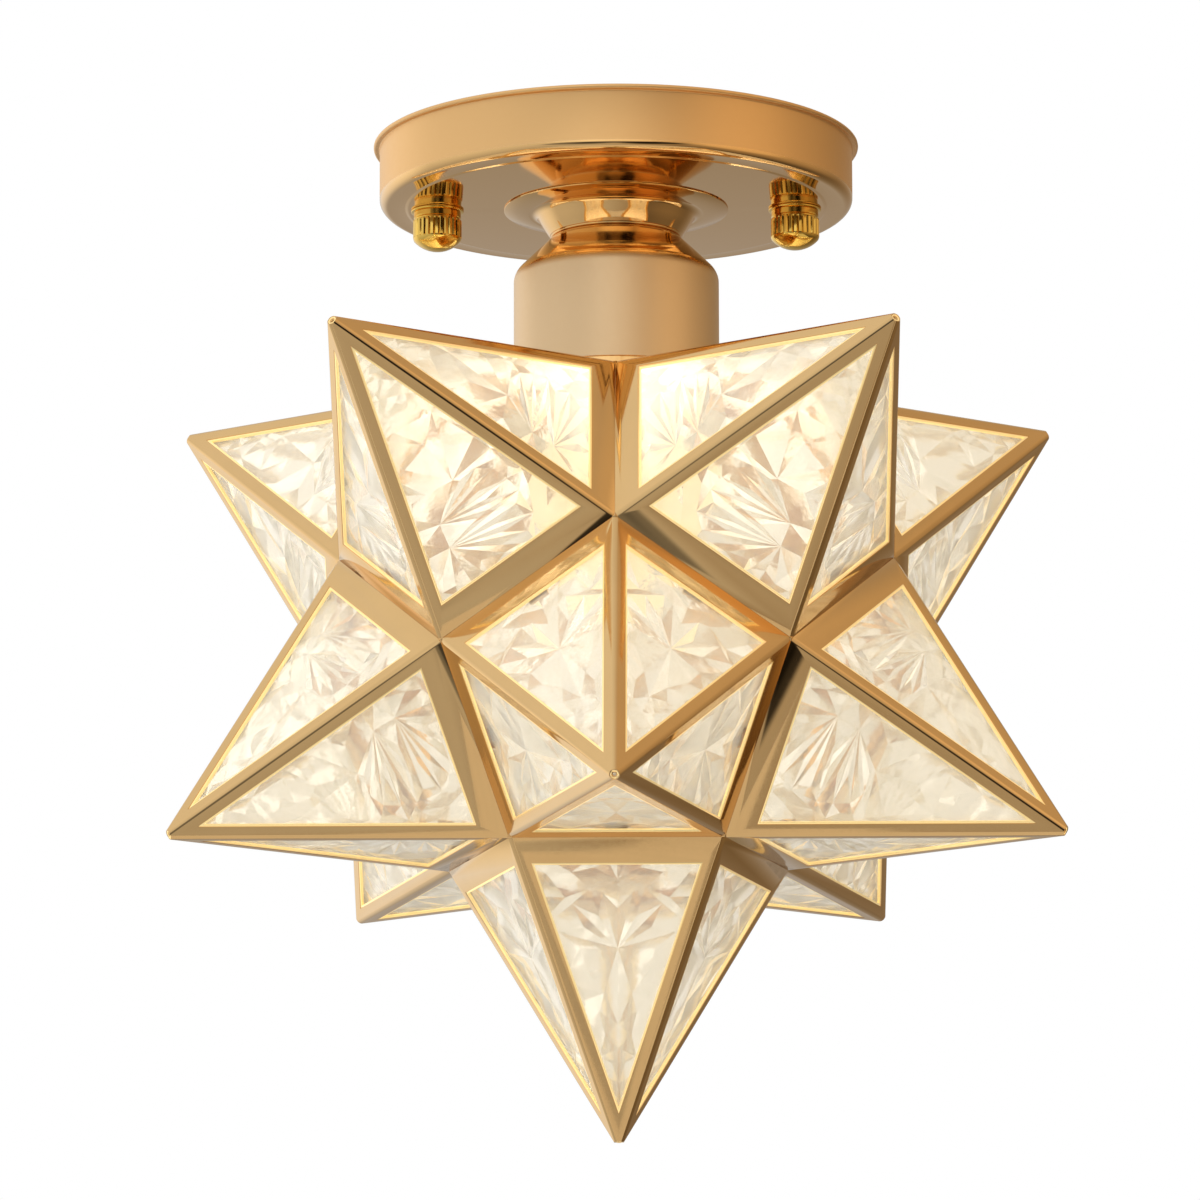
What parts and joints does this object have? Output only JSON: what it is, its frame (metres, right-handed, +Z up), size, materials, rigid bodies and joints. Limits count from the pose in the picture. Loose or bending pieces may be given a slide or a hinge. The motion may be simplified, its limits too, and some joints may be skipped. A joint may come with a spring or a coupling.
{
  "type": "ceiling light",
  "caption": "Semi flush ceiling light: round canopy, turned neck and cup, and a star shade of hollow five sided points framed in gold with moulded glass panes.",
  "frame": {"origin": "centre of the crossbar's top face, in the ceiling plane", "axes": "+Z up into the ceiling; the two cap nuts lie along X; the front of the light looks along -Y"},
  "size_m": [0.2156, 0.2264, 0.2482],
  "materials": {
    "gold_polished": "polished gold plating",
    "gold_frame": "polished gold plating",
    "brass_fasteners": "polished brass",
    "contact_brass": "plain brass",
    "zinc_steel": "zinc plated",
    "earth_green": "green dyed zinc",
    "porcelain": "white glazed porcelain",
    "moulded_glass": "clear moulded glass with a relief of cut leaves",
    "lamp_glass": "clear glass",
    "lamp_cap_nickel": "nickel plated",
    "lamp_insulator_black": "black",
    "filament_phosphor": "yellow phosphor"
  },
  "bodies": {
    "ceiling_bar": {"crossbar": "zinc_steel", "canopy_studs": "zinc_steel", "stud_lock_nuts": "zinc_steel", "earth_washer": "zinc_steel", "earth_screw": "earth_green"},
    "canopy_set": {"canopy": "gold_polished", "neck": "gold_polished", "socket_cup": "gold_polished", "threaded_nipple": "zinc_steel", "nipple_washer": "zinc_steel", "nipple_nut": "zinc_steel", "holder_base": "zinc_steel", "porcelain_body": "porcelain", "body_screws": "zinc_steel", "terminal_screws": "zinc_steel", "holder_screw_shell": "contact_brass", "centre_contact": "contact_brass", "contact_rivet": "contact_brass"},
    "washer_left": {"cap_washer_left": "brass_fasteners"},
    "nut_left": {"cap_nut_left": "brass_fasteners"},
    "washer_right": {"cap_washer_right": "brass_fasteners"},
    "nut_right": {"cap_nut_right": "brass_fasteners"},
    "lamp_travel": {"lamp_tip_contact": "lamp_cap_nickel"},
    "lamp": {"lamp_insulator": "lamp_insulator_black", "lamp_screw_cap": "lamp_cap_nickel", "lamp_globe": "lamp_glass", "lamp_stem": "lamp_glass", "lamp_filaments": "filament_phosphor"},
    "star": {"shade_collar": "gold_polished", "top_plate": "gold_frame", "valley_cage": "gold_frame", "pane_clips": "gold_frame", "frame_bottom": "gold_frame", "frame_low_front": "gold_frame", "frame_low_right": "gold_frame", "frame_low_back_right": "gold_frame", "frame_low_back_left": "gold_frame", "frame_low_left": "gold_frame", "frame_high_front_right": "gold_frame", "frame_high_right": "gold_frame", "frame_high_back": "gold_frame", "frame_high_left": "gold_frame", "frame_high_front_left": "gold_frame", "panes_bottom": "moulded_glass", "panes_low_front": "moulded_glass", "panes_low_right": "moulded_glass", "panes_low_back_right": "moulded_glass", "panes_low_back_left": "moulded_glass", "panes_low_left": "moulded_glass", "panes_high_front_right": "moulded_glass", "panes_high_right": "moulded_glass", "panes_high_back": "moulded_glass", "panes_high_left": "moulded_glass", "panes_high_front_left": "moulded_glass"},
    "thumb_back": {"thumb_screw_back": "brass_fasteners"},
    "thumb_left": {"thumb_screw_left": "brass_fasteners"},
    "thumb_right": {"thumb_screw_right": "brass_fasteners"}
  },
  "joints": [
    {"name": "canopy_drop", "type": "slide", "parent": "ceiling_bar", "child": "canopy_set", "axis": [0, 0, -1], "range_m": [0, 0.0056]},
    {"name": "washer_left_travel", "type": "slide", "parent": "ceiling_bar", "child": "washer_left", "axis": [0, 0, -1], "range_m": [0, 0.0056]},
    {"name": "cap_nut_left_turn", "type": "hinge", "parent": "washer_left", "child": "nut_left", "pos_m": [-0.044, 0, -0.0168], "axis": [0, 0, -1], "range_deg": [0, 2881]},
    {"name": "washer_right_travel", "type": "slide", "parent": "ceiling_bar", "child": "washer_right", "axis": [0, 0, -1], "range_m": [0, 0.0056]},
    {"name": "cap_nut_right_turn", "type": "hinge", "parent": "washer_right", "child": "nut_right", "pos_m": [0.044, 0, -0.0168], "axis": [0, 0, -1], "range_deg": [0, 2881]},
    {"name": "lamp_unscrew_travel", "type": "slide", "parent": "canopy_set", "child": "lamp_travel", "axis": [0, 0, -1], "range_m": [0, 0.01452]},
    {"name": "lamp_unscrew_turn", "type": "hinge", "parent": "lamp_travel", "child": "lamp", "pos_m": [0, 0, -0.06], "axis": [0, 0, -1], "range_deg": [0, 1440]},
    {"name": "star_lower", "type": "slide", "parent": "canopy_set", "child": "star", "axis": [0, 0, -1], "range_m": [0, 0.085]},
    {"name": "thumb_screw_back_loosen", "type": "slide", "parent": "star", "child": "thumb_back", "axis": [0, 1, 0], "range_m": [0, 0.0015]},
    {"name": "thumb_screw_left_loosen", "type": "slide", "parent": "star", "child": "thumb_left", "axis": [-0.866, -0.5, 0], "range_m": [0, 0.0015]},
    {"name": "thumb_screw_right_loosen", "type": "slide", "parent": "star", "child": "thumb_right", "axis": [0.866, -0.5, 0], "range_m": [0, 0.0015]}
  ],
  "couplings": [
    {"joint": "washer_left_travel", "follows": "canopy_drop", "ratio": 1},
    {"joint": "washer_right_travel", "follows": "canopy_drop", "ratio": 1},
    {"joint": "cap_nut_left_turn", "follows": "canopy_drop", "rad_per_m": 8976},
    {"joint": "cap_nut_right_turn", "follows": "canopy_drop", "rad_per_m": 8976},
    {"joint": "lamp_unscrew_travel", "follows": "lamp_unscrew_turn", "m_per_rad": 0.00057757}
  ]
}
